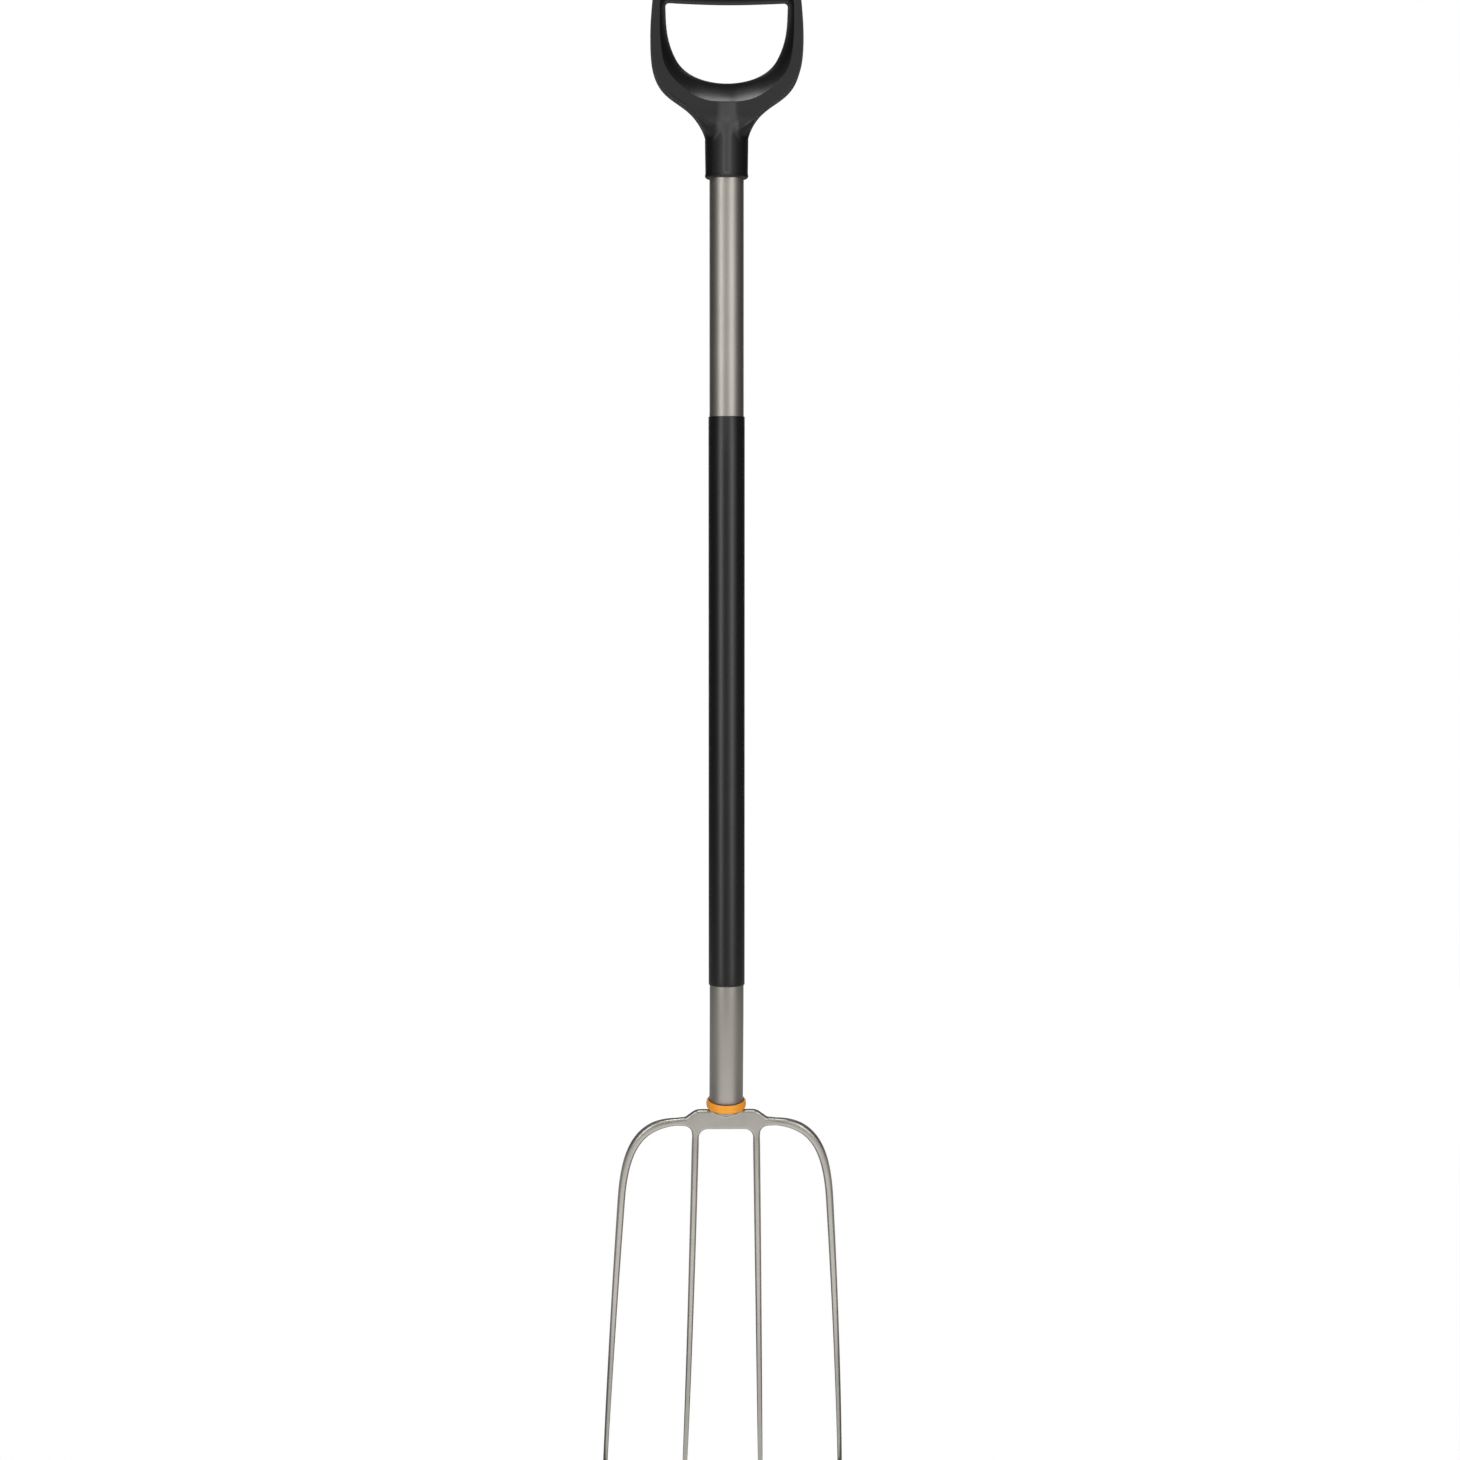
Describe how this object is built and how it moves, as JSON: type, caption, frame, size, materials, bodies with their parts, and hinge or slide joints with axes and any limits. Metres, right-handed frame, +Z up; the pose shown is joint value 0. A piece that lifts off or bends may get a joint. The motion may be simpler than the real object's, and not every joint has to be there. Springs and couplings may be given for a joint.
{
  "type": "compost fork",
  "caption": "Long-handled compost fork: curved prongs spread from a flat web on a cranked metal shaft with a slip-on sleeve, an end collar and a D-shaped grip.",
  "frame": {"origin": "middle of the grip's underside, on the axis of the shaft's straight upper stretch, where the fork hangs from a hook or hand", "axes": "+Z up along the shaft towards the grip, +X to the right for someone looking along +Y, +Y towards the side that the lower shaft and the tines lean and curve to; the fork hangs with its tines down"},
  "size_m": [0.1882, 0.1595, 1.1572],
  "materials": {
    "handle_plastic": "moulded charcoal plastic with a fine satin grain",
    "tube_aluminium": "satin anodised drawn tube, slightly warm grey",
    "sleeve_plastic": "black extruded plastic with a soft sheen",
    "collar_plastic": "orange moulded plastic, half gloss",
    "head_steel": "forged steel with a silver-grey powder coat",
    "bush_plastic": "undyed nylon",
    "fastener_steel": "bright zinc-plated steel"
  },
  "bodies": {
    "root": {"d_handle": "handle_plastic", "handle_screw": "fastener_steel", "shaft_tube": "tube_aluminium", "shaft_sleeve": "sleeve_plastic", "collar_ring": "collar_plastic", "tang_bush": "bush_plastic", "head_rivet": "fastener_steel", "fork_head": "head_steel"}
  },
  "joints": []
}
